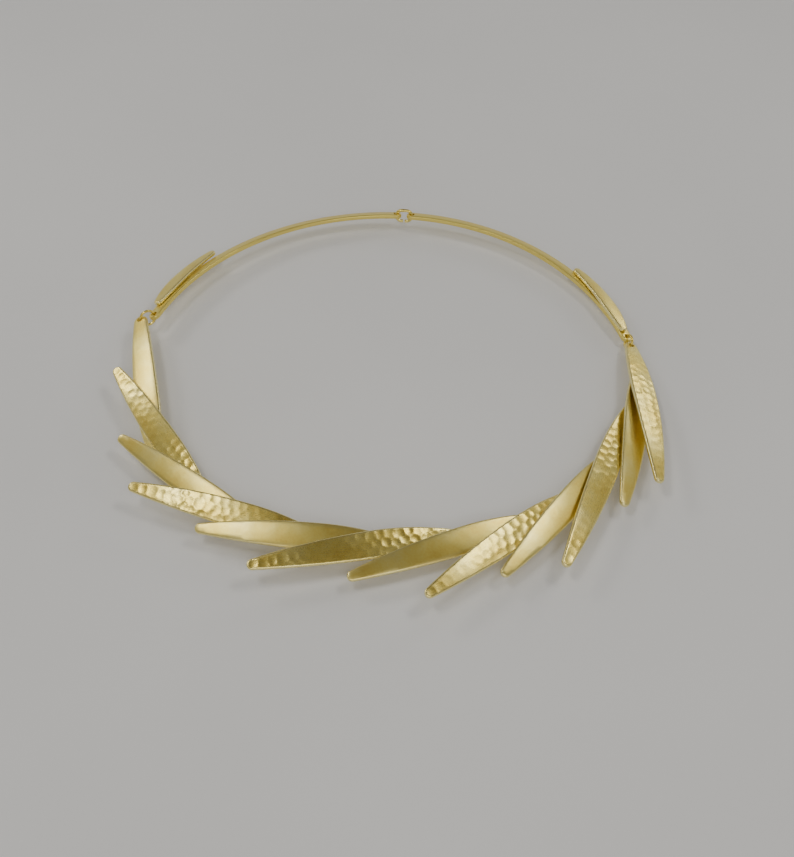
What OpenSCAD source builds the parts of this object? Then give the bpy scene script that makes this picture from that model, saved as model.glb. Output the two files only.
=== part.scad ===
// A stiff collar choker of twelve lapped leaf plates, dented and smooth by turns.
// Two neck bands hang on it by small rings, and a wire hook joins them at the nape.
// The origin is the centre of the neck, Z points up the neck and -Y is the throat.

/* [Leaf plates] */
// Length of a collar leaf from base to tip
leaf_l = 51; // [50:0.5:51]
// Width of a collar leaf at its widest point
leaf_w = 6.9; // [6:0.1:7]
// Thickness of the sheet that the leaves are cut from
leaf_t = 1.0; // [0.8:0.05:1]
// How far along a leaf its widest point lies, as a share of the length from the base
leaf_belly = 0.4; // [0.35:0.01:0.5]
// Radius of the slim base end that goes under the next leaf
base_r = 1.0; // [0.9:0.1:1.3]
// Radius of the blunt base that carries the right ring
blunt_base_r = 1.8; // [1.7:0.1:2]
// Radius of the rounded tip
tip_r = 1.3; // [1.1:0.1:1.6]
// Radius of the blunt tip that carries the left ring
blunt_tip_r = 2.0; // [1.8:0.1:2.2]
// Radius to which each leaf is bent along its length
leaf_bend_r = 180; // [175:1:190]
// Radius of the slight dome across a leaf
leaf_dome_r = 40; // [35:1:60]
// Slope of the collar, its outer side lower
slope = 21; // [20:0.5:22]

/* [Neck bands] */
// Width of a neck band
band_w = 3.2; // [3:0.1:3.4]
// Thickness of a neck band
band_t = 1.2; // [1:0.05:1.3]
// Distance from the neck axis to the middle of the bands at the nape
nape_y = 58.5; // [58:0.1:59]
// Height of the bands at the nape
nape_z = -1.5; // [-2:0.1:-1]
// Gap between the two bands at the nape
nape_gap = 1.6; // [1.4:0.1:2]

/* [Band leaves] */
// Length of the leaf that lies along each band
band_leaf_l = 27; // [24:0.5:30]
// Width of that leaf
band_leaf_w = 4.4; // [4.2:0.1:4.8]
// Radius of its rounded ends
band_leaf_end_r = 1.2; // [1:0.1:1.4]
// Turn of that leaf away from the band, towards the outside at the back
band_leaf_turn = 5; // [4:0.5:6]

/* [Rings and hook] */
// Thickness of the ring wire
ring_wire = 0.7; // [0.6:0.05:0.75]
// Radius of the holes for the rings and the hook
hole_r = 0.85; // [0.8:0.05:0.9]
// Distance from the end of a plate to the middle of its hole
hole_inset = 1.5; // [1.45:0.05:1.6]
// Thickness of the wire of the nape hook
hook_wire = 0.9; // [0.8:0.05:1]
// Half height of the nape hook, to the middle of the wire
hook_r = 1.6; // [1.5:0.05:1.8]
// Mouth that lets the hook open
hook_mouth = 0.5; // [0.4:0.05:0.8]

/* [Hidden] */
// Space that keeps a band and its leaf apart
lap_gap = 0.15;
// Spare sheet left round a blank before its outline is cut
spare = 1;
// The dome and the bend are round enough at these steps
$fn = 96;
fine_steps = 360;
// Steps along a side arc and round an end of a leaf outline
side_steps = 6;
end_steps = 4;

// One row for each collar leaf, from the right ring round the throat to the left ring.
// bearing: angle of its middle round the neck, in degrees, with 0 at +X and -90 at the throat
// reach: distance of its middle from the neck axis
// flare: turn of its tip towards the outside
// pitch: lift of its tip, which lays it over the next leaf
// rise: height of its middle
// extra: how much longer it is than the others
//   bearing, reach, flare, pitch, rise, extra
LEAVES = [
    [ -10.0,  69.0,  15.0,  4.5,   0.3,  0],
    [ -16.0,  67.5,   8.5,  3.0,  -1.0,  0],
    [ -33.5,  66.8,  15.7,  3.7,   0.4,  5],
    [ -44.0,  65.5,   9.5,  2.0,  -0.4,  0],
    [ -59.5,  65.5,  15.0,  5.5,   0.0,  0],
    [ -71.5,  62.0,   7.5,  2.0,  -0.7,  0],
    [ -92.0,  62.2,  20.0,  4.5,   0.6,  0],
    [-104.5,  61.5,  14.5,  2.0,   0.1,  0],
    [-122.0,  64.0,  21.0,  4.5,   0.4,  0],
    [-133.0,  64.0,  11.5,  4.0,  -0.5,  0],
    [-150.5,  63.5,   9.5,  4.0,   0.8,  0],
    [-166.0,  64.0,   2.5,  3.5,   0.2,  0],
];
BEARING = 0;
REACH = 1;
FLARE = 2;
PITCH = 3;
RISE = 4;
EXTRA = 5;
first_leaf = LEAVES[0];
last_leaf = LEAVES[len(LEAVES) - 1];

// One row for each arm, the right one first.
// inset: how far the ring end of the band lies inside the end of the collar
// behind: how far it lies behind that end
// leaf_start: distance along the band from its ring end to its leaf
// leaf_offset: how far the middle of that leaf stands outside the middle of the band
//   inset, behind, leaf_start, leaf_offset
ARMS = [
    [0.3,  0.5,  2.7,  0.6],
    [3.4, -0.6,  4.4,  2.2],
];
INSET = 0;
BEHIND = 1;
LEAF_START = 2;
LEAF_OFFSET = 3;
right_arm = ARMS[0];
left_arm = ARMS[1];

gold = [0.83, 0.70, 0.40];
pale_gold = [0.90, 0.80, 0.54];

// Turns of a point about one axis
function turn_x(p, a) = [p.x, p.y * cos(a) - p.z * sin(a), p.y * sin(a) + p.z * cos(a)];
function turn_y(p, a) = [p.x * cos(a) + p.z * sin(a), p.y, p.z * cos(a) - p.x * sin(a)];
function turn_z(p, a) = [p.x * cos(a) - p.y * sin(a), p.x * sin(a) + p.y * cos(a), p.z];

// Height of the top of a bent leaf at a distance x from its middle
function bend_drop(x) = leaf_bend_r - sqrt(leaf_bend_r * leaf_bend_r - x * x);

// Where a point on the centre line of a placed collar leaf lies, halfway through the sheet
function leaf_point(row, x) =
    let (flat = [x, 0, -bend_drop(x) - leaf_t / 2])
    let (laid = turn_z(turn_y(turn_x(flat, -slope), -row[PITCH]), row[FLARE] - 90))
    turn_z(laid + [row[REACH], 0, row[RISE]], row[BEARING]);

// Radius of a side arc that runs from the belly into a round end without a corner
function side_r(run, w, end_r) =
    let (d = run - end_r)
    (d * d + w * w / 4 - end_r * end_r) / (w - 2 * end_r);

// Puts a leaf that lies along X, with its tip at +X and its outer edge at +Y, in its place
module place_leaf(row) {
    rotate([0, 0, row[BEARING]])
        translate([row[REACH], 0, row[RISE]])
            rotate([0, 0, row[FLARE] - 90])
                rotate([0, -row[PITCH], 0])
                    rotate([-slope, 0, 0])
                        children();
}

// A quarter of the leaf outline: a shallow side arc from the belly, then a round end at run
function outline_quarter(run, w, end_r) =
    let (r = side_r(run, w, end_r))
    let (meet = asin((run - end_r) / (r - end_r)))
    concat(
        [for (i = [0 : side_steps]) let (a = meet * i / side_steps)
            [r * sin(a), w / 2 - r + r * cos(a)]],
        [for (i = [1 : end_steps]) let (a = meet + (90 - meet) * i / end_steps)
            [run - end_r + end_r * sin(a), end_r * cos(a)]]
    );
function reversed(points) = [for (i = [len(points) - 1 : -1 : 0]) points[i]];

// Leaf outline with its middle at the origin, its base at -X and its tip at +X.
// A sweep above 0 bends it towards +Y, and is 1 over the radius of its middle line.
module leaf_outline(l, w, base_end_r, tip_end_r, sweep) {
    tip = outline_quarter(l * (1 - leaf_belly), w, tip_end_r);
    base = outline_quarter(l * leaf_belly, w, base_end_r);
    upper = concat(
        [for (p = reversed(base)) [-p.x, p.y]],
        [for (i = [1 : len(tip) - 1]) tip[i]]
    );
    lower = [for (i = [len(upper) - 2 : -1 : 1]) [upper[i].x, -upper[i].y]];
    shift = l * (leaf_belly - 0.5);
    polygon([for (p = concat(upper, lower)) let (x = p.x + shift) [x, p.y + sweep * x * x / 2]]);
}

// Sheet bent along X and domed along Y, with the middle of its top at the origin
module bent_sheet(l, w, t, bend_r) {
    half_angle = asin((l / 2 + spare) / bend_r);
    translate([0, 0, -bend_r])
        rotate([0, -90, 90])
            rotate([0, 0, -half_angle])
                rotate_extrude(angle = 2 * half_angle, $fn = fine_steps)
                    intersection() {
                        translate([bend_r - leaf_dome_r, 0])
                            difference() {
                                circle(leaf_dome_r, $fn = fine_steps);
                                circle(leaf_dome_r - t, $fn = fine_steps);
                            }
                        translate([bend_r - 2 * t - spare, -w / 2 - spare])
                            square([2 * (t + spare), w + 2 * spare]);
                    }
}

// Leaf cut from a bent sheet, laid flat with the middle of its top at the origin
module leaf_plate(l, w, bend_r, base_end_r, tip_end_r, sweep = 0) {
    swept_w = w + sweep * l * l / 4;
    cutter_h = 2 * (leaf_t + w / 2);
    intersection() {
        bent_sheet(l, swept_w, leaf_t, bend_r);
        linear_extrude(height = cutter_h, center = true)
            leaf_outline(l, w, base_end_r, tip_end_r, sweep);
    }
}

module collar_leaf_plate(row, base_end_r, tip_end_r) {
    leaf_plate(leaf_l + row[EXTRA], leaf_w, leaf_bend_r, base_end_r, tip_end_r);
}

// Upright drill for a ring or hook hole
module ring_hole() {
    cylinder(h = 2 * (leaf_t + band_t), r = hole_r, center = true);
}

// Drill square to a collar leaf at a distance x from its middle
module leaf_hole(x) {
    translate([x, 0, -bend_drop(x) - leaf_t / 2])
        rotate([0, asin(x / leaf_bend_r), 0])
            ring_hole();
}

module hammered_leaf(number) {
    row = LEAVES[2 * number - 2];
    first = number == 1;
    color(pale_gold)
        place_leaf(row)
            difference() {
                collar_leaf_plate(row, first ? blunt_base_r : base_r, tip_r);
                if (first)
                    leaf_hole(hole_inset - leaf_l / 2);
            }
}

module satin_leaf(number) {
    row = LEAVES[2 * number - 1];
    last = number == len(LEAVES) / 2;
    color(gold)
        place_leaf(row)
            difference() {
                collar_leaf_plate(row, base_r, last ? blunt_tip_r : tip_r);
                if (last)
                    leaf_hole(leaf_l / 2 - hole_inset);
            }
}

// The arms are worked out as they lie on the right, and the left one is mirrored
function mirror_x(p) = [-p.x, p.y, p.z];
right_leaf_end = leaf_point(first_leaf, -leaf_l / 2);
right_hole = leaf_point(first_leaf, hole_inset - leaf_l / 2);
left_leaf_end = mirror_x(leaf_point(last_leaf, leaf_l / 2));
left_hole = mirror_x(leaf_point(last_leaf, leaf_l / 2 - hole_inset));
function band_start(leaf_end, arm) = leaf_end + [-arm[INSET], arm[BEHIND], 0];
right_start = band_start(right_leaf_end, right_arm);
left_start = band_start(left_leaf_end, left_arm);

// The middle line of a band is an arc from its start point to the nape, with its centre on Y
function arc_y(start) =
    (nape_y * nape_y - start.x * start.x - start.y * start.y) / (2 * (nape_y - start.y));
function arc_r(start) = nape_y - arc_y(start);
function start_angle(start) = atan2(start.y - arc_y(start), start.x);
function arc_degrees(length, r) = length / r * 180 / PI;
function band_length(start) = (90 - start_angle(start)) * PI / 180 * arc_r(start) - nape_gap / 2;
// A band leans a little, from the height of its ring to the height of the nape
function band_lean(start) = asin((nape_z - start.z) / (nape_y - start.y));
// Point on the middle line of a band at a distance along it from its ring end
function band_point(start, along) =
    let (a = start_angle(start) + arc_degrees(along, arc_r(start)))
    let (level = [arc_r(start) * cos(a), arc_y(start) + arc_r(start) * sin(a) - nape_y, 0])
    turn_x(level, band_lean(start)) + [0, nape_y, nape_z];

// Puts a level arc, drawn round its own centre, on the leaning arc of a band
module lean_band(start) {
    translate([0, nape_y, nape_z])
        rotate([band_lean(start), 0, 0])
            translate([0, arc_y(start) - nape_y, 0])
                children();
}

// Stands on a band at a distance along it, with X towards the nape and Y towards the neck
module on_band(start, along) {
    lean_band(start)
        rotate([0, 0, start_angle(start) + arc_degrees(along, arc_r(start))])
            translate([arc_r(start), 0, 0])
                rotate([slope, 0, 90])
                    children();
}

// Outline of a band seen from above, with a round end at each end of the arc
module band_outline(start) {
    r = arc_r(start);
    end_r = (band_w * cos(slope) + band_t * sin(slope)) / 2;
    first = start_angle(start) + arc_degrees(end_r, r);
    last = start_angle(start) + arc_degrees(band_length(start) - end_r, r);
    polygon([[0, 0], 2 * r * [cos(first), sin(first)], 2 * r * [cos(last), sin(last)]]);
    for (a = [first, last])
        translate(r * [cos(a), sin(a)])
            circle(end_r);
}

// A band is part of a shallow cone, drilled at both ends
module neck_band(start) {
    difference() {
        lean_band(start)
            intersection() {
                rotate_extrude($fn = fine_steps)
                    translate([arc_r(start), 0])
                        rotate(-slope)
                            square([band_w, band_t], center = true);
                linear_extrude(height = 2 * band_w, center = true)
                    band_outline(start);
            }
        for (along = [hole_inset, band_length(start) - hole_inset])
            on_band(start, along)
                ring_hole();
    }
}

// The leaf on a band, bent to the cone that the band is part of and swept along its arc
module band_leaf(start, arm) {
    bend_r = arc_r(start) / sin(slope);
    sweep = 1 / arc_r(start);
    dome_h = band_leaf_w * band_leaf_w / 8 / leaf_dome_r;
    on_band(start, arm[LEAF_START] + band_leaf_l / 2)
        translate([0, -arm[LEAF_OFFSET], band_t / 2 + lap_gap + dome_h + leaf_t])
            rotate([0, 0, -band_leaf_turn])
                leaf_plate(band_leaf_l, band_leaf_w, bend_r, band_leaf_end_r, band_leaf_end_r, sweep);
}

// A closed ring through the hole of a leaf and the hole of its band, upright on both plates
module side_ring(collar_hole, band_hole) {
    span = band_hole - collar_hole;
    turn = atan2(span.y, span.x);
    bearing = atan2(collar_hole.y, collar_hole.x);
    plate_normal = [sin(slope) * cos(bearing), sin(slope) * sin(bearing), cos(slope)];
    across = [-sin(turn), cos(turn), 0];
    above = cross(span / norm(span), across);
    roll = atan2(-plate_normal * across, plate_normal * above);
    translate((collar_hole + band_hole) / 2)
        rotate([0, -asin(span.z / norm(span)), turn])
            rotate([90 + roll, 0, 0])
                rotate_extrude()
                    translate([norm(span) / 2, 0])
                        circle(d = ring_wire);
}

module right_band() {
    color(gold)
        neck_band(right_start);
}

module left_band() {
    color(gold)
        mirror([1, 0, 0])
            neck_band(left_start);
}

module right_band_leaf() {
    color(gold)
        band_leaf(right_start, right_arm);
}

module left_band_leaf() {
    color(gold)
        mirror([1, 0, 0])
            band_leaf(left_start, left_arm);
}

module right_ring() {
    color(pale_gold)
        side_ring(right_hole, band_point(right_start, hole_inset));
}

module left_ring() {
    color(pale_gold)
        mirror([1, 0, 0])
            side_ring(left_hole, band_point(left_start, hole_inset));
}

// A long wire loop through both bands, with its mouth on the under side
module clasp_hook() {
    half_run = nape_gap / 2 + hole_inset - hook_r;
    color(pale_gold)
        translate([0, nape_y, nape_z])
            rotate([-slope, 0, 0])
                difference() {
                    union() {
                        for (side = [0, 180])
                            rotate([0, side, 0])
                                translate([half_run, 0, 0])
                                    rotate([90, 0, 0])
                                        rotate([0, 0, -90])
                                            rotate_extrude(angle = 180)
                                                translate([hook_r, 0])
                                                    circle(d = hook_wire);
                        for (z = [-hook_r, hook_r])
                            translate([0, 0, z])
                                rotate([0, 90, 0])
                                    cylinder(h = 2 * half_run, d = hook_wire, center = true);
                    }
                    translate([0, 0, -hook_r])
                        cube([hook_mouth, 2 * hook_wire, 2 * hook_wire], center = true);
                }
}

hammered_leaf(1);  // hammered_leaf_1
hammered_leaf(2);  // hammered_leaf_2
hammered_leaf(3);  // hammered_leaf_3
hammered_leaf(4);  // hammered_leaf_4
hammered_leaf(5);  // hammered_leaf_5
hammered_leaf(6);  // hammered_leaf_6
satin_leaf(1);  // satin_leaf_1
satin_leaf(2);  // satin_leaf_2
satin_leaf(3);  // satin_leaf_3
satin_leaf(4);  // satin_leaf_4
satin_leaf(5);  // satin_leaf_5
satin_leaf(6);  // satin_leaf_6
right_band();
left_band();
right_band_leaf();
left_band_leaf();
right_ring();
left_ring();
clasp_hook();
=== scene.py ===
"""The looks of a leaf plate choker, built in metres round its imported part."""

import logging
import random
from collections.abc import Callable
from dataclasses import dataclass, field, replace
from enum import Enum
from math import asin, atan2, ceil, cos, hypot, pi, radians, sin, sqrt

import bmesh
import bpy
from mathutils import Matrix, Vector


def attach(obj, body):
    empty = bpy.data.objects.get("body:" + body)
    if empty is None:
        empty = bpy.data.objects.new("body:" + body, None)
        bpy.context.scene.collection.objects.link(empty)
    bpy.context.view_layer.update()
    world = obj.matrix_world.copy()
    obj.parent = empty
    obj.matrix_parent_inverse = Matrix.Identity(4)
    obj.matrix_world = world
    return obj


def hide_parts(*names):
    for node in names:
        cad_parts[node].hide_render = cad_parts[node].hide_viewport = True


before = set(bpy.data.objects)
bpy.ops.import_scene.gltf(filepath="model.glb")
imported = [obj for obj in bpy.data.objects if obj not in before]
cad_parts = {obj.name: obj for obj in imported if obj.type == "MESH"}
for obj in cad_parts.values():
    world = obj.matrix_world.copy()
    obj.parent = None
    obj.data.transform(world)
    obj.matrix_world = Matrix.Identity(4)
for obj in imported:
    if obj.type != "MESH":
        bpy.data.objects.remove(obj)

LOG = logging.getLogger("choker")
MM = 0.001

# Points nearer to each other than this become one
MERGE = 0.002 * MM
# A corner nearer to a plane than this counts as lying in it
TOUCH = 0.01 * MM
# How far inside the end of its solid a leaf of the scene ends
SHY = 0.02 * MM
# Edges that turn by more than this stay sharp
SHARP = radians(40)
# The drill, longer than any piece is thick
DRILL_LENGTH = 6 * MM
DRILL_SIDES = 40
# Sides of the section of a wire
WIRE_SIDES = 20
# Middle of the bands at the nape
NAPE = Vector((0, 58.5 * MM, -1.5 * MM))
# Slope of the collar and the bands, outer side lower
SLOPE = radians(21)
UP = Vector((0, 0, 1))
# Turns that lay a bend along a leaf, or across it, over its underside
ALONG = Matrix(((1, 0, 0), (0, 0, 1), (0, -1, 0))).to_4x4()
ACROSS = Matrix(((0, 0, -1), (1, 0, 0), (0, -1, 0))).to_4x4()


class Finish(Enum):
    """The finishes of the choker, by the material slot that each one fills."""

    HAMMERED = "hammered_gold"
    SATIN = "satin_gold"
    WIRE = "wire_gold"


class Part(Enum):
    """What a pick on the bench takes hold of."""

    EDGE = "EDGE"
    FACE = "FACE"


Golds = dict[Finish, bpy.types.Material]
Socket = bpy.types.NodeSocket
Sockets = bpy.types.bpy_prop_collection


@dataclass
class Workpiece:
    """One piece on the bench, worked with Blender's modelling operators.

    Attributes:
        obj: the mesh object that is being worked.
    """

    obj: bpy.types.Object

    @classmethod
    def take_up(cls, name: str) -> "Workpiece":
        """Name the object that was just added, and its mesh, and take it up as a piece."""
        bpy.context.object.name = bpy.context.object.data.name = name
        return cls(bpy.context.object)

    @classmethod
    def from_point(cls, name: str, place: Vector) -> "Workpiece":
        """Start a piece as one point, from which an outline is spun.

        Args:
            name: name of the piece.
            place: where the point lies.

        Returns:
            The piece, in edit mode, with its point picked.
        """
        bpy.ops.mesh.primitive_plane_add(size=MM)
        piece = cls.take_up(name)
        piece.open_up()
        bpy.ops.mesh.merge(type="CENTER")
        bpy.ops.transform.translate(value=place)
        return piece

    @classmethod
    def from_wire(cls, name: str, wire: float, place: Vector) -> "Workpiece":
        """Start a piece as the filled section of a round wire that runs along X.

        Args:
            name: name of the piece.
            wire: thickness of the wire.
            place: where the middle of the section lies.

        Returns:
            The piece, in edit mode, with its section picked.
        """
        bpy.ops.mesh.primitive_circle_add(
            vertices=WIRE_SIDES,
            radius=wire / 2,
            fill_type="NGON",
            location=place,
            rotation=(0, pi / 2, 0),
        )
        bpy.ops.object.transform_apply()
        piece = cls.take_up(name)
        piece.open_up()
        return piece

    def open_up(self) -> None:
        """Enter edit mode with the whole piece picked."""
        bpy.ops.object.mode_set(mode="EDIT")
        bpy.ops.mesh.select_all(action="SELECT")

    def pick(self, part: Part, test: Callable[[Vector], bool]) -> None:
        """Pick the edges or the faces whose corners all pass a test.

        Args:
            part: what is picked.
            test: says whether a corner at a place belongs to the pick.
        """
        bpy.ops.mesh.select_mode(type=part.value)
        bpy.ops.mesh.select_all(action="DESELECT")
        mesh = bmesh.from_edit_mesh(self.obj.data)
        for item in mesh.edges if part is Part.EDGE else mesh.faces:
            if all(test(corner.co) for corner in item.verts):
                item.select_set(True)
        mesh.select_flush_mode()
        bmesh.update_edit_mesh(self.obj.data)

    def slice(self, normal: Vector, start: float, end: float, step: float) -> None:
        """Cut the faces of the whole piece by planes that stand a step apart.

        Args:
            normal: direction in which the planes follow each other.
            start: place of the first plane in that direction.
            end: place that no plane lies beyond.
            step: distance from plane to plane, at most.
        """
        count = max(1, round((end - start) / step))
        for i in range(count + 1):
            bpy.ops.mesh.select_all(action="SELECT")
            place = normal * (start + (end - start) * i / count)
            bpy.ops.mesh.bisect(plane_co=place, plane_no=normal)

    def net(self, along: float, across: float, step: float) -> None:
        """Cut the faces by planes a step apart, out to a distance along and one across."""
        self.slice(Vector((1, 0, 0)), -along, along, step)
        self.slice(Vector((0, 1, 0)), -across, across, step)

    def close_up(self) -> None:
        """Merge double points and turn all faces outwards, in edit mode."""
        bpy.ops.mesh.select_mode(type="VERT")
        bpy.ops.mesh.select_all(action="SELECT")
        bpy.ops.mesh.remove_doubles(threshold=MERGE)
        bpy.ops.mesh.normals_make_consistent(inside=False)

    def off_bench(self) -> None:
        """Leave edit mode with this piece alone selected."""
        bpy.ops.object.mode_set(mode="OBJECT")
        bpy.ops.object.select_all(action="DESELECT")
        self.obj.select_set(True)
        bpy.context.view_layer.objects.active = self.obj

    def apply(self, kind: str, **settings: object) -> None:
        """Add a modifier to the piece, set it and apply it.

        Args:
            kind: type of the modifier.
            settings: its settings by name.
        """
        bpy.ops.object.modifier_add(type=kind)
        modifier = self.obj.modifiers[-1]
        for name, value in settings.items():
            setattr(modifier, name, value)
        bpy.ops.object.modifier_apply(modifier=modifier.name)

    def curl(self, turn: Matrix, radius: float) -> None:
        """Bend the piece evenly round an axis below it, or beside it.

        Args:
            turn: how the bend lies. Its first column runs along the bend, its second to the centre.
            radius: radius of the bend at the origin of the piece.
        """
        guide = bpy.data.objects.new("bend_guide", None)
        bpy.context.scene.collection.objects.link(guide)
        guide.matrix_world = turn
        bpy.context.view_layer.update()
        run = turn.to_3x3().col[0]
        reach = [vertex.co.dot(run) for vertex in self.obj.data.vertices]
        self.apply(
            "SIMPLE_DEFORM",
            deform_method="BEND",
            deform_axis="Z",
            origin=guide,
            angle=(max(reach) - min(reach)) / radius,
        )
        bpy.data.objects.remove(guide)

    def drill(self, place: Vector, direction: Vector, radius: float) -> None:
        """Drill a round hole right through the piece.

        Args:
            place: a point on the axis of the hole.
            direction: direction of that axis.
            radius: radius of the hole.
        """
        bpy.ops.mesh.primitive_cylinder_add(
            vertices=DRILL_SIDES,
            radius=radius,
            depth=DRILL_LENGTH,
            location=place,
            rotation=direction.to_track_quat("Z", "Y").to_euler(),
        )
        cutter = bpy.context.object
        self.off_bench()
        self.apply("BOOLEAN", object=cutter, operation="DIFFERENCE", solver="EXACT")
        bpy.data.objects.remove(cutter)

    def lay(self, place: Matrix) -> None:
        """Move the piece to its place, which ends up in its mesh.

        Args:
            place: the move, which may mirror the piece.
        """
        self.off_bench()
        self.obj.matrix_world = place @ self.obj.matrix_world
        bpy.ops.object.transform_apply()
        if place.to_3x3().determinant() < 0:
            self.open_up()
            bpy.ops.mesh.flip_normals()
            bpy.ops.object.mode_set(mode="OBJECT")

    def copy(self, name: str) -> "Workpiece":
        """Copy the piece with a mesh of its own.

        Args:
            name: name of the copy.

        Returns:
            The copy, which is left alone on the bench.
        """
        self.off_bench()
        bpy.ops.object.duplicate(linked=False)
        return Workpiece.take_up(name)

    def mark_flat(self, unroll: Callable[[Vector], Vector] = Vector) -> None:
        """Store where each point lies on the flat stock, for the finish that runs along it.

        Args:
            unroll: gives the place along, across and through the stock of a point.
        """
        mesh = self.obj.data
        places = [unroll(vertex.co) / MM for vertex in mesh.vertices]
        flat = mesh.attributes.new("flat", "FLOAT_VECTOR", "POINT")
        flat.data.foreach_set("vector", [number for place in places for number in place])

    def hand_over(self, finish: Finish, golds: Golds) -> None:
        """Smooth the finished piece, dress it and let it ride on the root body.

        Args:
            finish: its finish.
            golds: the material of each finish.
        """
        self.off_bench()
        bpy.ops.object.shade_smooth_by_angle(angle=SHARP)
        self.obj.data.materials.clear()
        self.obj.data.materials.append(golds[finish])
        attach(self.obj, "root")
        edges = bmesh.new()
        edges.from_mesh(self.obj.data)
        loose = sum(1 for edge in edges.edges if not edge.is_manifold)
        LOG.info("%s: %d faces, %d open edges", self.obj.name, len(edges.faces), loose)
        edges.free()


def unroll_arc(radius: float) -> Callable[[Vector], Vector]:
    """Give the rule that unrolls a strip or a wire from an arc round Z."""
    return lambda co: Vector((atan2(co.y, co.x) * radius, co.xy.length, co.z))


@dataclass(frozen=True)
class LeafCut:
    """The outline of a leaf and the sheet that it is cut from.

    Attributes:
        length: from base to tip, measured straight.
        width: at the widest point.
        base_r: radius of the slim round base.
        tip_r: radius of the rounded tip.
        bend_r: radius to which the leaf is bent along its length.
        sweep_r: radius to which its middle line bends in its own plane, 0 for a straight leaf.
        belly: share of the length, from the base, at which the leaf is widest.
        thickness: of the sheet.
        dome_r: radius of the dome across the leaf.
        rim: radius of its filed upper edge.
        lower_rim: radius of its softened lower edge.
        wear: how far in from the outline the upper edge is polished smooth and painted with a pale
            highlight, in radii of that edge.
        tip_steps: steps of each half of the tip.
        tip_side_steps: steps of a side from the belly to the tip.
        base_side_steps: steps of a side from the belly to the base.
        base_steps: steps of the base.
    """

    length: float = 50.96 * MM
    width: float = 6.86 * MM
    base_r: float = 1.0 * MM
    tip_r: float = 1.3 * MM
    bend_r: float = 180 * MM
    sweep_r: float = 0.0
    belly: float = 0.4
    thickness: float = 1.0 * MM
    dome_r: float = 40 * MM
    rim: float = 0.42 * MM
    lower_rim: float = 0.14 * MM
    wear: float = 1.6
    tip_steps: int = 7
    tip_side_steps: int = 16
    base_side_steps: int = 12
    base_steps: int = 14

    @property
    def flat_length(self) -> float:
        """Length of the blank before it is bent."""
        return 2 * self.bend_r * asin(self.length / 2 / self.bend_r)

    def side(self, run: float, end_r: float) -> tuple[float, float]:
        """Work out the side arc that runs from the belly into a round end.

        Args:
            run: distance from the belly to that end.
            end_r: radius of that end.

        Returns:
            The radius of the side arc and the angle that it covers.
        """
        gap = run - end_r
        radius = (gap**2 + self.width**2 / 4 - end_r**2) / (self.width - 2 * end_r)
        return radius, asin(gap / (radius - end_r))

    def blank(self, name: str, plain_step: float, fine_step: float = 0.0) -> Workpiece:
        """Cut the flat blank of the leaf, with its filed rims and cut faces.

        Args:
            name: name of the piece.
            plain_step: distance between the cuts over all its faces.
            fine_step: distance between the cuts over its top where it is hammered, or 0.

        Returns:
            The blank, off the bench, its top at height 0 and its tip towards +X.
        """
        tip_run = self.flat_length * (1 - self.belly)
        base_run = self.flat_length * self.belly
        shift = self.flat_length * (self.belly - 0.5)
        tip_side, tip_meet = self.side(tip_run, self.tip_r)
        base_side, base_meet = self.side(base_run, self.base_r)
        tip_turn = pi / 2 - tip_meet
        base_turn = pi / 2 - base_meet
        tip = ((shift + tip_run - self.tip_r, 0), tip_turn, self.tip_steps)
        base_end = (shift - base_run + self.base_r, 0)
        half = self.width / 2
        arcs = [
            tip,
            ((shift, half - tip_side), tip_meet, self.tip_side_steps),
            ((shift, half - base_side), base_meet, self.base_side_steps),
            (base_end, 2 * base_turn, self.base_steps),
            ((shift, base_side - half), base_meet, self.base_side_steps),
            ((shift, tip_side - half), tip_meet, self.tip_side_steps),
            tip,
        ]
        piece = Workpiece.from_point(name, Vector((shift + tip_run, 0, 0)))
        for (x, y), turn, steps in arcs:
            bpy.ops.mesh.spin(steps=steps, angle=-turn, center=(x, y, 0), axis=UP)
        piece.close_up()
        bpy.ops.mesh.edge_face_add()
        down = Vector((0, 0, -self.thickness))
        bpy.ops.mesh.extrude_region_move(TRANSFORM_OT_translate={"value": down})
        piece.close_up()
        piece.pick(Part.EDGE, lambda co: co.z > -TOUCH)
        bpy.ops.mesh.bevel(offset=self.rim, segments=4, profile=0.5)
        piece.pick(Part.EDGE, lambda co: co.z < TOUCH - self.thickness)
        bpy.ops.mesh.bevel(offset=self.lower_rim, segments=2, profile=0.5)
        along, across = self.flat_length / 2 - self.rim, half - self.rim
        piece.net(along, across, plain_step)
        if fine_step:
            piece.pick(Part.FACE, lambda co: co.z > -TOUCH)
            bpy.ops.mesh.hide(unselected=True)
            piece.net(along, across, fine_step)
            bpy.ops.mesh.reveal(select=False)
        piece.close_up()
        piece.off_bench()
        return piece

    def inside(self, x: float, y: float) -> float:
        """Say how far a point of the flat blank lies inside the outline.

        Args:
            x: place along the blank.
            y: place across it.

        Returns:
            The distance to the outline, below 0 for a point outside it.
        """
        shift = self.flat_length * (self.belly - 0.5)
        towards_tip = x > shift
        run = self.flat_length * (1 - self.belly if towards_tip else self.belly)
        end_r = self.tip_r if towards_tip else self.base_r
        out = abs(x - shift)
        radius, meet = self.side(run, end_r)
        off = abs(y) + radius - self.width / 2
        if atan2(out, off) <= meet:
            return radius - hypot(out, off)
        return end_r - hypot(out - (run - end_r), y)

    def mark(self, piece: Workpiece) -> None:
        """Store what the finish needs of the flat blank: its places and its rim.

        Args:
            piece: the blank before it is bent.
        """
        piece.mark_flat()
        mesh = piece.obj.data
        depths = [self.inside(vertex.co.x, vertex.co.y) for vertex in mesh.vertices]
        # The rim attribute marks the band along the outline where the rim is polished smooth and
        # painted with a pale highlight
        rim = mesh.attributes.new("rim", "FLOAT", "POINT")
        polish_and_highlight_band = self.wear * self.rim
        rim.data.foreach_set("value", [min(1.0, max(0.0, 1 - depth / polish_and_highlight_band)) for depth in depths])

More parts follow.
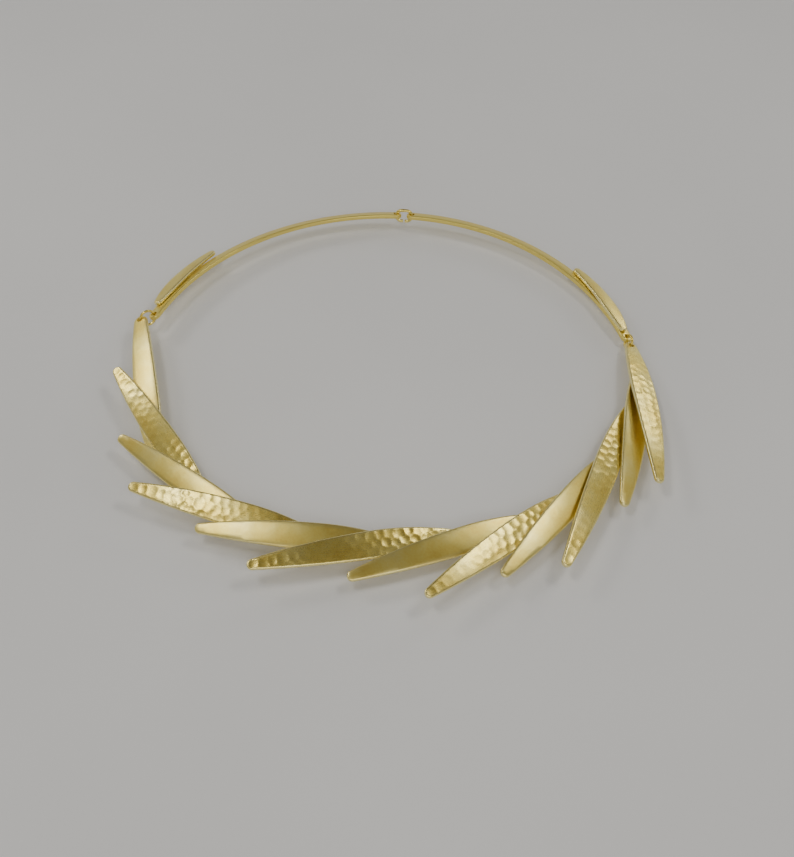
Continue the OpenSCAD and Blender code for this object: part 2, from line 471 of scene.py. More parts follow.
    def shape(self, piece: Workpiece) -> None:
        """Mark a flat blank, bend it along its length and dome it across.

        Args:
            piece: the blank.
        """
        self.mark(piece)
        if self.sweep_r:
            piece.curl(Matrix.Identity(4), self.sweep_r)
        piece.curl(ACROSS, self.dome_r)
        piece.curl(ALONG, self.bend_r)


@dataclass(frozen=True)
class Hammer:
    """The round dents that a small hammer leaves on the top of a leaf.

    Attributes:
        spacing: distance from dent to dent.
        radius: radius of a dent.
        depth: depth of a dent.
        faintest: depth of the faintest dents, as a share of the deepest.
        swell: share of a leaf's length from one run of deep dents to the next.
        stray: how far a dent may lie from its place in the pattern.
        margin: how near a dent may lie to the outline.
        row_pitch: distance from row to row, in spacings.
        give: how far down the filed edge the metal gives way, in radii of that edge.
        blow: weakest and strongest blow, as shares of the full one.
        spread: narrowest and widest dent, in radii of a dent.
        blow_seed: what is added to a leaf's number for the forces of its blows.
    """

    spacing: float = 2.4 * MM
    radius: float = 1.35 * MM
    depth: float = 0.11 * MM
    faintest: float = 0.14
    swell: float = 0.8
    stray: float = 0.2 * MM
    margin: float = 0.5 * MM
    row_pitch: float = 0.87
    give: float = 0.7
    blow: tuple[float, float] = (0.7, 1.1)
    spread: tuple[float, float] = (0.8, 1.15)
    blow_seed: int = 100

    def places(self, cut: LeafCut, seed: int) -> list[Vector]:
        """Lay out the dents in staggered rows, each a little off its place.

        Args:
            cut: the leaf that is hammered.
            seed: number that makes the strays of one leaf its own.

        Returns:
            The middles of the dents on the flat blank.
        """
        chance = random.Random(seed)
        found = []
        rows = ceil(cut.width / self.spacing / 2)
        columns = ceil(cut.flat_length / self.spacing / 2)
        for row in range(-rows, rows + 1):
            for column in range(-columns, columns + 1):
                x = (column + (row % 2) / 2) * self.spacing + chance.gauss(0, self.stray)
                y = row * self.spacing * self.row_pitch + chance.gauss(0, self.stray)
                if cut.inside(x, y) > self.margin:
                    found.append(Vector((x, y, 0)))
        return found

    def force(self, share: float, deepest: float) -> float:
        """Say how deep the dents are at a share of a leaf's length, where the deepest are 1."""
        wave = cos((share - deepest) / self.swell * 2 * pi)
        return self.faintest + (1 - self.faintest) * (1 + wave) / 2

    def strike(self, piece: Workpiece, cut: LeafCut, seed: int, deepest: float) -> None:
        """Press the dents into the top of a flat blank.

        Args:
            piece: the blank.
            cut: the leaf that it was cut as.
            seed: number that makes the dents of one leaf its own.
            deepest: share of the length, from the base, at which the dents are deepest.
        """
        chance = random.Random(seed + self.blow_seed)
        piece.off_bench()
        bpy.ops.object.mode_set(mode="EDIT")
        piece.pick(Part.FACE, lambda co: co.z > -self.give * cut.rim)
        bpy.ops.mesh.hide(unselected=True)
        bpy.ops.mesh.select_mode(type="VERT")
        for place in self.places(cut, seed):
            bpy.ops.mesh.select_all(action="DESELECT")
            mesh = bmesh.from_edit_mesh(piece.obj.data)
            shown = (vertex for vertex in mesh.verts if not vertex.hide)
            nearest = min(shown, key=lambda vertex: (vertex.co.xy - place.xy).length_squared)
            nearest.select_set(True)
            share = place.x / cut.flat_length + 0.5
            force = self.force(share, deepest) * chance.uniform(*self.blow)
            bpy.ops.transform.translate(
                value=(0, 0, -self.depth * force),
                use_proportional_edit=True,
                proportional_edit_falloff="INVERSE_SQUARE",
                proportional_size=self.radius * chance.uniform(*self.spread),
            )
        bpy.ops.mesh.reveal(select=False)
        bpy.ops.object.mode_set(mode="OBJECT")


@dataclass(frozen=True)
class LeafPlace:
    """Where one leaf of the collar lies.

    Attributes:
        bearing: angle of its middle round the neck in degrees, with -90 at the throat.
        reach: distance of its middle from the neck axis, in millimetres.
        flare: turn of its tip towards the outside, in degrees.
        pitch: lift of its tip, in degrees.
        rise: height of its middle, in millimetres.
        extra: how much longer it is than the others, in millimetres.
    """

    bearing: float
    reach: float
    flare: float
    pitch: float
    rise: float
    extra: float = 0

    @property
    def matrix(self) -> Matrix:
        """Work out where the leaf lies.

        Returns:
            The move that takes a leaf from the bench to its place.
        """
        return (
            Matrix.Rotation(radians(self.bearing), 4, "Z")
            @ Matrix.Translation((self.reach * MM, 0, self.rise * MM))
            @ Matrix.Rotation(radians(self.flare - 90), 4, "Z")
            @ Matrix.Rotation(radians(-self.pitch), 4, "Y")
            @ Matrix.Rotation(-SLOPE, 4, "X")
        )


@dataclass
class Collar:
    """The stiff front of the choker: twelve lapped leaves, hammered and satin by turns.

    Attributes:
        golds: the material of each finish.
        cut: the leaf that those between the ends are cut as.
        first_cut: the leaf that starts the collar, with a blunt base for its ring.
        last_cut: the leaf that ends it, with a blunt tip for its ring.
        hammer: the dents of every other leaf.
        places: where the leaves lie, from the right ring round the throat to the left.
        deepest: for each hammered leaf, the share of its length at which its dents are deepest.
        inset: from the end of a leaf to the middle of its hole.
        hole_r: radius of that hole.
        plain_step: distance between the cuts over the faces of a leaf.
        fine_step: distance between the cuts over a top that is hammered.
    """

    golds: Golds
    cut: LeafCut = field(default_factory=LeafCut)
    first_cut: LeafCut = field(default_factory=lambda: LeafCut(base_r=1.8 * MM))
    last_cut: LeafCut = field(default_factory=lambda: LeafCut(tip_r=2.0 * MM))
    hammer: Hammer = field(default_factory=Hammer)
    places: tuple[LeafPlace, ...] = (
        LeafPlace(-10.0, 69.0, 15.0, 4.5, 0.3),
        LeafPlace(-16.0, 67.5, 8.5, 3.0, -1.0),
        LeafPlace(-33.5, 66.8, 15.7, 3.7, 0.4, 5),
        LeafPlace(-44.0, 65.5, 9.5, 2.0, -0.4),
        LeafPlace(-59.5, 65.5, 15.0, 5.5, 0.0),
        LeafPlace(-71.5, 62.0, 7.5, 2.0, -0.7),
        LeafPlace(-92.0, 62.2, 20.0, 4.5, 0.6),
        LeafPlace(-104.5, 61.5, 14.5, 2.0, 0.1),
        LeafPlace(-122.0, 64.0, 21.0, 4.5, 0.4),
        LeafPlace(-133.0, 64.0, 11.5, 4.0, -0.5),
        LeafPlace(-150.5, 63.5, 9.5, 4.0, 0.8),
        LeafPlace(-166.0, 64.0, 2.5, 3.5, 0.2),
    )
    deepest: tuple[float, ...] = (0.45, 0.3, 0.4, 0.2, 0.75, 0.95)
    inset: float = 1.5 * MM
    hole_r: float = 0.85 * MM
    plain_step: float = 1.0 * MM
    fine_step: float = 0.22 * MM

    def cut_of(self, index: int) -> LeafCut:
        """Give the cut of one leaf of the collar.

        Args:
            index: which leaf.

        Returns:
            Its cut.
        """
        if index == 0:
            return self.first_cut
        if index == len(self.places) - 1:
            return self.last_cut
        return replace(self.cut, length=self.cut.length + self.places[index].extra * MM)

    def point(self, index: int, x: float) -> Vector:
        """Find a point on the middle line of a placed leaf, halfway through the sheet.

        Args:
            index: which leaf.
            x: distance from the middle of the leaf towards its tip, measured straight.

        Returns:
            The point in the frame of the choker.
        """
        bend_r = self.cut.bend_r
        drop = bend_r - sqrt(bend_r**2 - x**2) + self.cut.thickness / 2
        return self.places[index].matrix @ Vector((x, 0, -drop))

    def build(self) -> None:
        """Make all the leaves, lay them and dress them."""
        blanks: dict[tuple[LeafCut, Finish], Workpiece] = {}
        for index, place in enumerate(self.places):
            hammered = index % 2 == 0
            finish = Finish.HAMMERED if hammered else Finish.SATIN
            node = f"{finish.name.lower()}_leaf_{index // 2 + 1}"
            cut = self.cut_of(index)
            if (cut, finish) not in blanks:
                blanks[cut, finish] = cut.blank(
                    f"{node}_blank", self.plain_step, self.fine_step if hammered else 0
                )
            leaf = blanks[cut, finish].copy(f"{node}_plate")
            if hammered:
                self.hammer.strike(leaf, cut, index, self.deepest[index // 2])
            hole = cut.flat_length / 2 - self.inset
            if index == 0:
                leaf.drill(Vector((-hole, 0, 0)), UP, self.hole_r)
            if index == len(self.places) - 1:
                leaf.drill(Vector((hole, 0, 0)), UP, self.hole_r)
            cut.shape(leaf)
            leaf.lay(place.matrix)
            leaf.hand_over(finish, self.golds)
            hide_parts(node)
        for blank in blanks.values():
            bpy.data.objects.remove(blank.obj)


@dataclass
class Arm:
    """One side of the back: a band on the arc from its ring to the nape, its leaf and its ring.

    It is worked out as it lies on the right, and a left one is mirrored.

    Attributes:
        golds: the material of each finish.
        side: name of the side.
        leaf_end: end of the collar on that side, halfway through the sheet.
        leaf_hole: middle of the hole at that end.
        inset: how far the band starts inside the end of the collar.
        behind: how far it starts behind that end.
        leaf_start: distance along the band to the start of its leaf.
        leaf_offset: how far the leaf stands outside the middle of the band.
        width: width of the band.
        thickness: thickness of the band.
        nape: middle of the bands at the nape.
        nape_gap: gap between the two bands there.
        hole_inset: from the end of the band to the middle of its hole.
        hole_r: radius of that hole.
        leaf_length: length of the leaf along the band.
        leaf_width: width of that leaf.
        leaf_end_r: radius of its two round ends.
        leaf_turn: turn of that leaf away from the band, in radians.
        lap: gap between the band and its leaf.
        wire: thickness of the ring wire.
        edge_r: radius of the rounded edges of the band.
        end_share: how far the ends of the band are rounded, as a share of half its width.
        strip_step: length of a step along the band.
        leaf_step: distance between the cuts over its leaf.
        ring_turn: how far round the wire of the ring goes.
        ring_steps: steps of the ring.
    """

    golds: Golds
    side: str
    leaf_end: Vector
    leaf_hole: Vector
    inset: float
    behind: float
    leaf_start: float
    leaf_offset: float
    width: float = 3.18 * MM
    thickness: float = 1.2 * MM
    nape: Vector = field(default_factory=NAPE.copy)
    nape_gap: float = 1.6 * MM
    hole_inset: float = 1.5 * MM
    hole_r: float = 0.85 * MM
    leaf_length: float = 27 * MM
    leaf_width: float = 4.4 * MM
    leaf_end_r: float = 1.2 * MM
    leaf_turn: float = radians(5)
    lap: float = 0.15 * MM
    wire: float = 0.69 * MM
    edge_r: float = 0.3 * MM
    end_share: float = 0.99
    strip_step: float = 2 * MM
    leaf_step: float = 0.8 * MM
    ring_turn: float = radians(359)
    ring_steps: int = 56

    @property
    def mirror(self) -> Matrix:
        """The move from the right side to the side of this arm."""
        return Matrix.Diagonal((1 if self.side == "right" else -1, 1, 1, 1))

    @property
    def start(self) -> Vector:
        """Start of the middle line of the band, as on the right."""
        return self.mirror @ self.leaf_end + Vector((-self.inset, self.behind, 0))

    @property
    def arc_y(self) -> float:
        """Where the centre of the arc lies on Y."""
        start = self.start
        return (self.nape.y**2 - start.x**2 - start.y**2) / (2 * (self.nape.y - start.y))

    @property
    def arc_r(self) -> float:
        """Radius of the arc."""
        return self.nape.y - self.arc_y

    @property
    def start_angle(self) -> float:
        """Angle at which the arc starts."""
        return atan2(self.start.y - self.arc_y, self.start.x)

    @property
    def length(self) -> float:
        """Length of the band."""
        return (pi / 2 - self.start_angle) * self.arc_r - self.nape_gap / 2

    @property
    def lean(self) -> Matrix:
        """Work out how the arc leans from the collar up or down to the nape.

        Returns:
            The move from a level arc round its own centre to the leaning arc of the band.
        """
        angle = asin((self.nape.z - self.start.z) / (self.nape.y - self.start.y))
        return (
            Matrix.Translation(self.nape)
            @ Matrix.Rotation(angle, 4, "X")
            @ Matrix.Translation((0, self.arc_y - self.nape.y, 0))
        )

    def along(self, distance: float) -> Matrix:
        """Stand on the band, X towards the nape and Y towards the neck.

        Args:
            distance: how far along the band from its start.

        Returns:
            The move to that place from the origin.
        """
        return (
            self.lean
            @ Matrix.Rotation(self.start_angle + distance / self.arc_r, 4, "Z")
            @ Matrix.Translation((self.arc_r, 0, 0))
            @ Matrix.Rotation(pi / 2, 4, "Z")
            @ Matrix.Rotation(SLOPE, 4, "X")
        )

    def build(self) -> None:
        """Make the band, its leaf and its ring."""
        self.build_band()
        self.build_leaf()
        self.build_ring()

    def build_band(self) -> None:
        """Spin the section of the band round its arc, round its ends and drill them."""
        bpy.ops.mesh.primitive_plane_add(size=MM)
        band = Workpiece.take_up(f"{self.side}_band_strip")
        band.obj.matrix_world = (
            Matrix.Rotation(self.start_angle, 4, "Z")
            @ Matrix.Translation((self.arc_r, 0, 0))
            @ Matrix.Rotation(SLOPE, 4, "Y")
            @ Matrix.Rotation(pi / 2, 4, "X")
            @ Matrix.Diagonal((self.width / MM, self.thickness / MM, 1, 1))
        )
        bpy.ops.object.transform_apply()
        band.open_up()
        arc = self.length / self.arc_r
        steps = int(self.length / self.strip_step)
        bpy.ops.mesh.spin(steps=steps, angle=-arc, center=(0, 0, 0), axis=UP)
        band.close_up()
        for angle in (self.start_angle, self.start_angle + arc):
            out = Vector((-sin(angle), cos(angle), 0))
            radial = Vector((cos(angle), sin(angle), 0))
            middle = radial * self.arc_r
            across = radial * cos(SLOPE) - UP * sin(SLOPE)
            for sign in (-1, 1):
                corner = middle + across * sign * self.width / 2
                band.pick(
                    Part.EDGE,
                    lambda co: abs((co - corner).dot(out)) < TOUCH
                    and abs((co - corner).dot(across)) < TOUCH,
                )
                bpy.ops.mesh.bevel(offset=self.width / 2 * self.end_share, segments=8, profile=0.5)
        band.close_up()
        band.off_bench()
        band.apply("BEVEL", width=self.edge_r, segments=3, limit_method="ANGLE", angle_limit=SHARP)
        band.mark_flat(unroll_arc(self.arc_r))
        band.lay(self.lean)
        for distance in (self.hole_inset, self.length - self.hole_inset):
            place = self.along(distance)
            band.drill(place.translation, place.to_3x3().col[2], self.hole_r)
        band.lay(self.mirror)
        band.hand_over(Finish.SATIN, self.golds)
        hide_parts(f"{self.side}_band")

    def build_leaf(self) -> None:
        """Cut the leaf of the band, bend it to the band and lay it on."""
        cut = LeafCut(
            length=self.leaf_length,
            width=self.leaf_width,
            base_r=self.leaf_end_r,
            tip_r=self.leaf_end_r,
            bend_r=self.arc_r / sin(SLOPE),
            sweep_r=self.arc_r,
        )
        leaf = cut.blank(f"{self.side}_band_leaf_plate", self.leaf_step)
        cut.shape(leaf)
        dome = self.leaf_width**2 / 8 / cut.dome_r
        height = self.thickness / 2 + self.lap + dome + cut.thickness
        leaf.lay(
            self.mirror
            @ self.along(self.leaf_start + self.leaf_length / 2)
            @ Matrix.Translation((0, -self.leaf_offset, height))
            @ Matrix.Rotation(-self.leaf_turn, 4, "Z")
        )
        leaf.hand_over(Finish.SATIN, self.golds)
        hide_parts(f"{self.side}_band_leaf")

    def build_ring(self) -> None:
        """Bend the ring through the hole of the collar and the hole of the band."""
        collar_hole = self.mirror @ self.leaf_hole
        band_hole = self.along(self.hole_inset).translation
        span = band_hole - collar_hole
        radius = span.length / 2
        turn = atan2(span.y, span.x)
        bearing = atan2(collar_hole.y, collar_hole.x)
        plates = Vector((sin(SLOPE) * cos(bearing), sin(SLOPE) * sin(bearing), cos(SLOPE)))
        across = Vector((-sin(turn), cos(turn), 0))
        above = span.normalized().cross(across)
        roll = atan2(-plates.dot(across), plates.dot(above))
        ring = Workpiece.from_wire(f"{self.side}_jump_ring", self.wire, Vector((0, radius, 0)))
        bpy.ops.mesh.spin(steps=self.ring_steps, angle=-self.ring_turn, center=(0, 0, 0), axis=UP)
        ring.close_up()
        ring.off_bench()
        ring.mark_flat(unroll_arc(radius))
        ring.lay(
            self.mirror
            @ Matrix.Translation((collar_hole + band_hole) / 2)
            @ Matrix.Rotation(turn, 4, "Z")
            @ Matrix.Rotation(-asin(span.z / span.length), 4, "Y")
            @ Matrix.Rotation(pi / 2 + roll, 4, "X")
        )
        ring.hand_over(Finish.WIRE, self.golds)
        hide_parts(f"{self.side}_ring")


@dataclass
class Clasp:
    """The wire hook that joins the two bands at the nape.

    Attributes:
        golds: the material of each finish.
        place: its middle.
        wire: thickness of its wire.
        radius: half its height, to the middle of the wire.
        half_run: half the length of its straight sides.
        mouth: gap that lets it open, on the under side.
        bend_steps: steps of each of its two bends.
    """

    golds: Golds
    place: Vector = field(default_factory=NAPE.copy)
    wire: float = 0.9 * MM
    radius: float = 1.6 * MM
    half_run: float = 0.7 * MM
    mouth: float = 0.5 * MM
    bend_steps: int = 24

    def build(self) -> None:
        """Bend the hook from one length of wire, from one side of its mouth to the other."""
        hook = Workpiece.from_wire("nape_hook", self.wire, Vector((self.mouth / 2, 0, -self.radius)))
        short = self.half_run - self.mouth / 2
        for side, run in ((1, short), (-1, -2 * self.half_run)):
            bpy.ops.mesh.extrude_region_move(TRANSFORM_OT_translate={"value": (run, 0, 0)})
            bpy.ops.mesh.spin(
                steps=self.bend_steps, angle=pi, center=(side * self.half_run, 0, 0), axis=(0, 1, 0)
            )
        bpy.ops.mesh.extrude_region_move(TRANSFORM_OT_translate={"value": (short, 0, 0)})
        hook.close_up()
        hook.off_bench()
        hook.mark_flat()
        hook.lay(Matrix.Translation(self.place) @ Matrix.Rotation(-SLOPE, 4, "X"))
        hook.hand_over(Finish.WIRE, self.golds)
        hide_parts("clasp_hook")


@dataclass(frozen=True)
class Graph:
    """Puts nodes into one node tree and joins them.

    Attributes:
        tree: the tree of a material or of a group.
    """

    tree: bpy.types.NodeTree

    def add(
        self, kind: str, inputs: dict[str | int, object] | None = None, **settings: object
    ) -> bpy.types.Node:
        """Add one node.

        Args:
            kind: type of the node.
            inputs: what goes into its sockets, each a value or a socket of another node.
            settings: its settings by name.

        Returns:
            The node.
        """
        node = self.tree.nodes.new(kind)
        for name, value in settings.items():
            setattr(node, name, value)
        for name, value in (inputs or {}).items():
            if isinstance(value, Socket):
                self.link(value, node.inputs[name])
            else:
                node.inputs[name].default_value = value
        return node

    def link(self, output: Socket, into: Socket) -> None:
        """Join an output to an input."""
        self.tree.links.new(output, into)

    def ramp(self, value: Socket, stops: list[tuple[float, tuple]]) -> Socket:
        """Turn a value into a colour along a ramp.

        Args:
            value: the socket with the value.
            stops: place and colour of each stop.

        Returns:
            The colour.
        """
        node = self.add("ShaderNodeValToRGB", {"Fac": value})
        while len(node.color_ramp.elements) < len(stops):
            node.color_ramp.elements.new(0.5)
        for element, (place, color) in zip(node.color_ramp.elements, stops):
            element.position = place
            element.color = (*color, 1)
        return node.outputs["Color"]

    def scaled(self, value: Socket, low: float, high: float) -> Socket:
        """Spread a value from 0 to 1 between two others."""
        node = self.add("ShaderNodeMapRange", {"Value": value, "To Min": low, "To Max": high})
        return node.outputs["Result"]

    def noise(self, place: Socket, scale: float, detail: float) -> Socket:
        """Give a soft noise at a place."""
        node = self.add("ShaderNodeTexNoise", {"Vector": place, "Scale": scale, "Detail": detail})
        return node.outputs["Fac"]

    def blend(self, share: float | Socket, first: Socket, second: float | Socket) -> Socket:
        """Mix two values, with a share of the second."""
        return self.add("ShaderNodeMix", {0: share, 2: first, 3: second}).outputs[0]

    def bump(
        self, height: Socket, distance: float, below: Socket | None = None, invert: bool = False
    ) -> Socket:
        """Raise a surface by a height.

        Args:
            height: the height as a share.
            distance: the full height, in metres.
            below: normal of the bump that this one lies on.
            invert: whether it goes down and not up.

        Returns:
            The normal of the raised surface.
        """
        node = self.add("ShaderNodeBump", {"Height": height, "Distance": distance}, invert=invert)
        if below is not None:
            self.link(below, node.inputs["Normal"])
        return node.outputs["Normal"]


class Effect(Enum):
    """The effects that the golds share, each a node group."""

    TONE = "gold_tone"
    GRAIN = "brushed_grain"
    PITS = "fine_pits"
    # Mask of the polished rims, which also places the painted rim highlight
    WEAR = "rim_wear"


@dataclass
class EffectShelf:
    """The node groups of the shared effects, each made once.

    Attributes:
        groups: the groups by effect.
    """

    groups: dict[Effect, bpy.types.NodeTree] = field(default_factory=dict)

    def open_group(
        self, effect: Effect, inputs: dict[str, str], outputs: dict[str, str]
    ) -> tuple[Graph, Sockets, Sockets]:
        """Start the group of an effect with its named sockets.

        Args:
            effect: the effect.
            inputs: type of each input socket by name.
            outputs: type of each output socket by name.

        Returns:
            The group to work in, what comes into it and what goes out of it.
        """
        tree = bpy.data.node_groups.new(effect.value, "ShaderNodeTree")
        for in_out, sockets in (("INPUT", inputs), ("OUTPUT", outputs)):
            for name, kind in sockets.items():
                tree.interface.new_socket(name=name, in_out=in_out, socket_type=f"NodeSocket{kind}")
        self.groups[effect] = tree
        graph = Graph(tree)
        given, result = graph.add("NodeGroupInput"), graph.add("NodeGroupOutput")
        return graph, given.outputs, result.inputs

    def stock(self) -> None:
        """Make all the groups."""
        self.make_tone()
        self.make_grain()
        self.make_pits()
        self.make_rim_polish_and_highlight()

    def make_tone(self) -> None:
        """Drift of the plating from a deep to a pale gold, in soft clouds and small flecks."""
        graph, given, result = self.open_group(
            Effect.TONE, {"Place": "Vector"}, {"Color": "Color", "Swell": "Float"}
        )
        cloud = graph.noise(given["Place"], scale=0.11, detail=3.0)
        fleck = graph.noise(given["Place"], scale=1.7, detail=2.0)
        tone = graph.ramp(
            graph.blend(0.25, cloud, fleck),
            [(0.30, (0.79, 0.56, 0.10)), (0.5, (0.90, 0.73, 0.19)), (0.70, (0.96, 0.83, 0.30))],
        )
        graph.link(tone, result["Color"])
        graph.link(cloud, result["Swell"])

    def make_grain(self) -> None:
        """Fine streaks of brushing that run along a piece, with a few longer scratches."""
        graph, given, result = self.open_group(
            Effect.GRAIN, {"Place": "Vector"}, {"Streak": "Float", "Scratch": "Float"}
        )
        for name, stretch, low, high in (
            ("Streak", (0.35, 9.0, 9.0), 0.3, 0.7),
            ("Scratch", (0.12, 4.0, 4.0), 0.62, 0.78),
        ):
            drawn = graph.add(
                "ShaderNodeVectorMath", {0: given["Place"], 1: stretch}, operation="MULTIPLY"
            )
            noise = graph.noise(drawn.outputs["Vector"], scale=1.0, detail=4.0)
            clear = graph.add("ShaderNodeMapRange", {"Value": noise, "From Min": low, "From Max": high})
            graph.link(clear.outputs["Result"], result[name])

    def make_pits(self) -> None:
        """Tiny pits and soft unevenness of hammered or drawn metal."""
        graph, given, result = self.open_group(Effect.PITS, {"Place": "Vector"}, {"Pits": "Float"})
        fine = graph.noise(given["Place"], scale=3.2, detail=4.0)
        cells = graph.add("ShaderNodeTexVoronoi", {"Vector": given["Place"], "Scale": 2.2})
        graph.link(graph.blend(0.35, fine, cells.outputs["Distance"]), result["Pits"])

    def make_rim_polish_and_highlight(self) -> None:
        """Mask of the filed rims, broken up along them, where they are polished smooth and painted with
        a pale highlight.
        """
        graph, given, result = self.open_group(
            Effect.WEAR, {"Rim": "Float", "Place": "Vector"}, {"Mask": "Float"}
        )
        patches = graph.noise(given["Place"], scale=0.8, detail=3.0)
        broken = graph.scaled(patches, low=0.45, high=1.25)
        mask = graph.add(
            "ShaderNodeMath", {0: given["Rim"], 1: broken}, operation="MULTIPLY", use_clamp=True
        )
        graph.link(mask.outputs["Value"], result["Mask"])


@dataclass(frozen=True)
class GoldFinish:
    """The plating of one finish.

    Attributes:
        finish: which finish it is.
        smooth: roughness where the plating is smoothest.
        rough: roughness where it is roughest.
        grain: depth of the brushed streaks, in metres.
        pits: depth of the fine pits, in metres.
        swell: height of the slow unevenness of the sheet, in metres.
        painted_rim_highlight: the pale gold of the painted highlight on the rims.
    """

    finish: Finish
    smooth: float
    rough: float
    grain: float
    pits: float
    swell: float = 0.1 * MM
    painted_rim_highlight: tuple[float, float, float, float] = (0.98, 0.88, 0.42, 1)

    def mix(self, shelf: EffectShelf) -> bpy.types.Material:
        """Mix the material of the finish.

        Args:
            shelf: the shared effects.

        Returns:
            The material.
        """
        material = bpy.data.materials.new(self.finish.value)
        material.use_nodes = True
        material.node_tree.nodes.clear()
        graph = Graph(material.node_tree)
        place = graph.add("ShaderNodeAttribute", attribute_name="flat").outputs["Vector"]
        rim = graph.add("ShaderNodeAttribute", attribute_name="rim").outputs["Fac"]
        tone, grain, pits, wear = (
            graph.add("ShaderNodeGroup", node_tree=shelf.groups[effect]) for effect in Effect
        )
        for node in (tone, grain, pits, wear):
            graph.link(place, node.inputs["Place"])
        graph.link(rim, wear.inputs["Rim"])
        mask = wear.outputs["Mask"]
        # Where the rim mask is high, a pale painted highlight replaces the gold tone and the roughness
        # drops to its smoothest
        color = graph.add(
            "ShaderNodeMix", {0: mask, 6: tone.outputs["Color"], 7: self.painted_rim_highlight}, data_type="RGBA"
        )
        dull = graph.blend(0.5, grain.outputs["Streak"], pits.outputs["Pits"])
        spread = graph.scaled(dull, self.smooth, self.rough)
        normal = None
        for height, distance, invert in (
            (tone.outputs["Swell"], self.swell, False),
            (grain.outputs["Streak"], self.grain, False),
            (grain.outputs["Scratch"], self.grain, True),
            (pits.outputs["Pits"], self.pits, False),
        ):
            normal = graph.bump(height, distance, normal, invert)
        shader = graph.add(
            "ShaderNodeBsdfPrincipled",
            {
                "Base Color": color.outputs[2],
                "Metallic": 1.0,
                "Roughness": graph.blend(mask, spread, self.smooth),
                "Normal": normal,
            },
        )
        output = graph.add("ShaderNodeOutputMaterial")
        graph.link(shader.outputs["BSDF"], output.inputs["Surface"])
        return material


@dataclass(frozen=True)
class SoftBox:
    """A soft light that hangs round the choker.

    Attributes:
        name: its name.
        azimuth: its direction in degrees, from the back round by the right.
        elevation: its height in degrees above the floor.
        width: width of its cloth.
        height: height of its cloth.
        level: brightness of its cloth.
        color: colour of its light.
        distance: from the choker.
    """

    name: str
    azimuth: float
    elevation: float
    width: float
    height: float
    level: float
    color: tuple[float, float, float] = (1.0, 0.975, 0.92)
    distance: float = 0.7

    def hang(self) -> None:
        """Hang the light, turned to the choker."""
        azimuth, elevation = radians(self.azimuth), radians(self.elevation)
        out = Vector((sin(azimuth) * cos(elevation), cos(azimuth) * cos(elevation), sin(elevation)))
        bpy.ops.object.light_add(type="AREA", location=out * self.distance)
        light = bpy.context.object
        light.name = self.name
        light.rotation_euler = (-out).to_track_quat("-Z", "Y").to_euler()
        light.data.shape = "RECTANGLE"
        light.data.size = self.width
        light.data.size_y = self.height
        light.data.energy = self.level * pi * self.width * self.height
        light.data.color = self.color


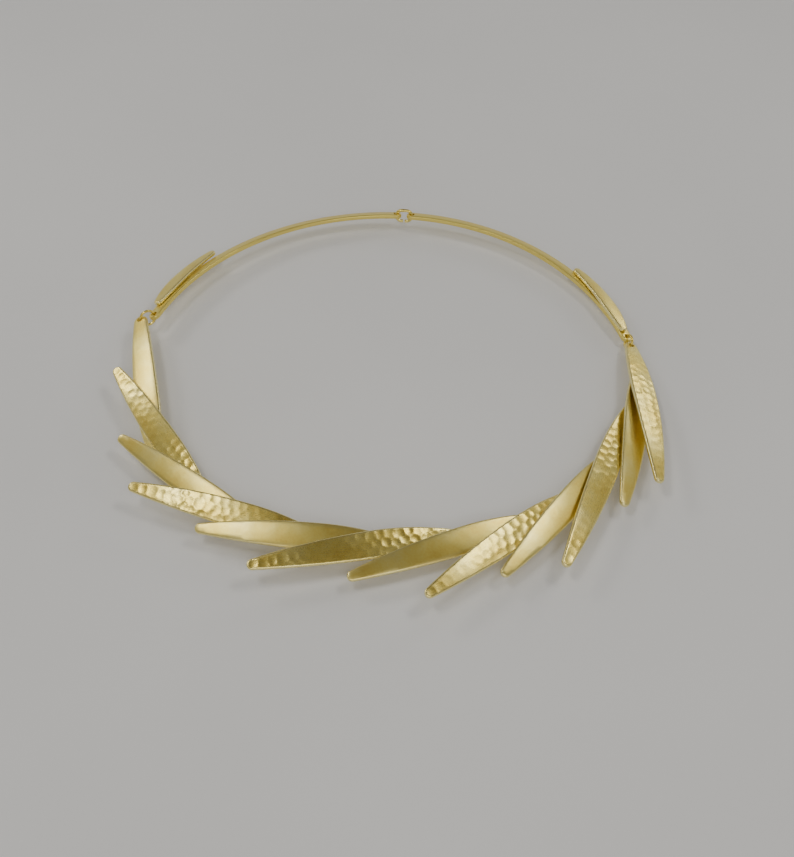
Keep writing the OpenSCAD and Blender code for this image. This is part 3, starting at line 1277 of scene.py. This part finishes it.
@dataclass
class Studio:
    """The floor, the lights and the camera.

    Attributes:
        floor_z: height of the floor, just under the lowest tip.
        boxes: the soft lights.
        eye: where the camera stands.
        gaze: the direction in which it looks.
        reach: its focal length, as a share of the long side of its sensor.
        sensor: long side of that sensor, in millimetres.
        near: nearest distance that it shows.
        far: farthest distance that it shows.
        floor_size: side of the square floor.
        floor_grain: height of the fine grain of the floor.
        floor_dull: roughness of the floor.
    """

    floor_z: float = -5.8 * MM
    boxes: tuple[SoftBox, ...] = (
        SoftBox("right_low_box", 40, 22, 0.16, 0.10, 5.0),
        SoftBox("right_high_box", 72, 57, 0.20, 0.11, 8.5),
        SoftBox("left_high_box", -106, 68, 0.22, 0.11, 8.5),
        SoftBox("left_low_box", -60, 34, 0.20, 0.12, 7.0),
        SoftBox("front_box", 170, 45, 0.50, 0.30, 2.0),
    )
    eye: Vector = field(default_factory=lambda: Vector((19.714, -218.821, 231.335)) * MM)
    gaze: Vector = field(default_factory=lambda: Vector((-0.0504, 0.6408, -0.766)))
    reach: float = 1200 / 857
    sensor: float = 36
    near: float = 0.01
    far: float = 20
    floor_size: float = 30
    floor_grain: float = 0.05 * MM
    floor_dull: float = 0.8

    def build(self) -> None:
        """Set up the whole studio."""
        self.lay_floor()
        for box in self.boxes:
            box.hang()
        self.set_air()
        self.set_camera()

    def set_air(self) -> None:
        """Fill the room with a soft light that is bright low down and dark overhead."""
        world = bpy.data.worlds.new("studio_air")
        bpy.context.scene.world = world
        world.use_nodes = True
        graph = Graph(world.node_tree)
        way = graph.add("ShaderNodeTexCoord").outputs["Generated"]
        height = graph.add("ShaderNodeSeparateXYZ", {"Vector": way}).outputs["Z"]
        ramp = graph.ramp(
            height,
            [
                (0.0, (0.66, 0.67, 0.69)),
                (0.45, (0.36, 0.35, 0.33)),
                (0.80, (0.14, 0.13, 0.11)),
                (1.0, (0.07, 0.062, 0.05)),
            ],
        )
        air = world.node_tree.nodes["Background"]
        graph.link(ramp, air.inputs["Color"])

    def lay_floor(self) -> None:
        """Lay the pale floor."""
        bpy.ops.mesh.primitive_plane_add(size=self.floor_size, location=(0, 0, self.floor_z))
        floor = bpy.context.object
        floor.name = "floor"
        material = bpy.data.materials.new("pale_floor")
        material.use_nodes = True
        graph = Graph(material.node_tree)
        place = graph.add("ShaderNodeTexCoord").outputs["Object"]
        clouds = graph.noise(place, scale=7.0, detail=4.0)
        ramp = graph.ramp(clouds, [(0.3, (0.80, 0.805, 0.82)), (0.7, (0.86, 0.865, 0.88))])
        bump = graph.bump(graph.noise(place, scale=900.0, detail=3.0), self.floor_grain)
        shader = material.node_tree.nodes["Principled BSDF"]
        graph.link(ramp, shader.inputs["Base Color"])
        graph.link(bump, shader.inputs["Normal"])
        shader.inputs["Roughness"].default_value = self.floor_dull
        floor.data.materials.append(material)

    def set_camera(self) -> None:
        """Set up the camera at the angle of the picture."""
        bpy.ops.object.camera_add(location=self.eye)
        camera = bpy.context.object
        camera.rotation_mode = "QUATERNION"
        camera.rotation_quaternion = self.gaze.to_track_quat("-Z", "Y")
        camera.data.sensor_width = self.sensor
        camera.data.lens = self.sensor * self.reach
        camera.data.clip_start = self.near
        camera.data.clip_end = self.far
        bpy.context.scene.camera = camera


def mix_golds() -> Golds:
    """Mix the material of each finish.

    Returns:
        The materials by finish.
    """
    shelf = EffectShelf()
    shelf.stock()
    golds = (
        GoldFinish(Finish.HAMMERED, smooth=0.25, rough=0.31, grain=0.0005 * MM, pits=0.004 * MM),
        GoldFinish(Finish.SATIN, smooth=0.26, rough=0.36, grain=0.0005 * MM, pits=0.001 * MM),
        GoldFinish(Finish.WIRE, smooth=0.18, rough=0.30, grain=0.002 * MM, pits=0.004 * MM),
    )
    return {gold.finish: gold.mix(shelf) for gold in golds}


def main() -> None:
    """Build the choker in order, then the studio."""
    logging.basicConfig(level=logging.INFO, format="%(name)s: %(message)s")
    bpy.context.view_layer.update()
    golds = mix_golds()
    collar = Collar(golds)
    collar.build()
    half = collar.cut.length / 2 + SHY
    last = len(collar.places) - 1
    arms = (
        Arm(
            golds,
            side="right",
            leaf_end=collar.point(0, -half),
            leaf_hole=collar.point(0, collar.inset - half),
            inset=0.3 * MM,
            behind=0.5 * MM,
            leaf_start=2.7 * MM,
            leaf_offset=0.6 * MM,
        ),
        Arm(
            golds,
            side="left",
            leaf_end=collar.point(last, half),
            leaf_hole=collar.point(last, half - collar.inset),
            inset=3.4 * MM,
            behind=-0.6 * MM,
            leaf_start=4.4 * MM,
            leaf_offset=2.2 * MM,
        ),
    )
    for arm in arms:
        arm.build()
    Clasp(golds).build()
    Studio().build()


if __name__ == "__main__":
    main()
